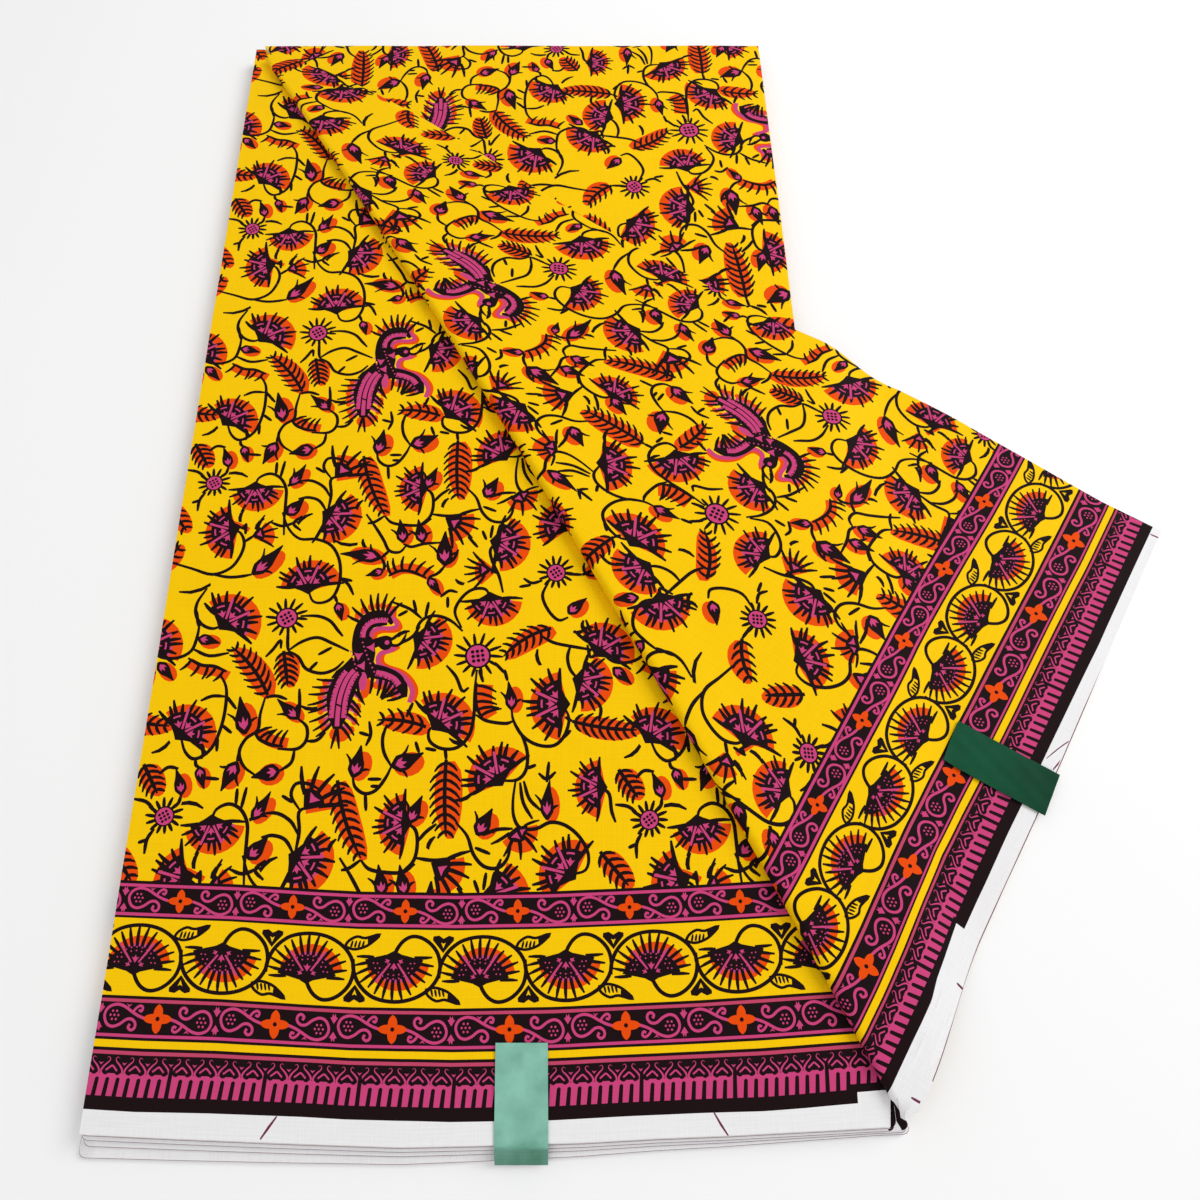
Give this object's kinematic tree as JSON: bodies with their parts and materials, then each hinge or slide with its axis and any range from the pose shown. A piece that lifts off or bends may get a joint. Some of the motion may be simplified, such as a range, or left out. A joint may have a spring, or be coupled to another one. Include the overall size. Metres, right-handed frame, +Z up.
{
  "type": "wax print fabric, folded length",
  "caption": "Length of bordered wax print cloth, folded and plaited flat, its upper packet turned over the diagonal to show the selvedge border",
  "frame": {"origin": "centre of the bottom of the whole part's box, on the surface that the cloth lies on", "axes": "+X along the selvedges of the stack, to the side where the flap lies; +Y from the front selvedges to the fold at the far end; +Z up"},
  "size_m": [0.4862, 0.596, 0.0175],
  "materials": {
    "printed_cotton": "plain weave waxed cotton, printed in yellow, orange, magenta and near black, slight sheen",
    "selvedge_cotton": "unprinted white cotton selvedge, matt",
    "mint_tape": "mint satin label tape, bare",
    "green_tape": "dark green satin label tape, bare"
  },
  "bodies": {
    "root": {"folded_stack": "selvedge_cotton", "lower_panel": "printed_cotton", "upper_panel": "printed_cotton", "turned_flap": "printed_cotton", "front_tape": "mint_tape", "flap_tape": "green_tape"}
  },
  "joints": []
}
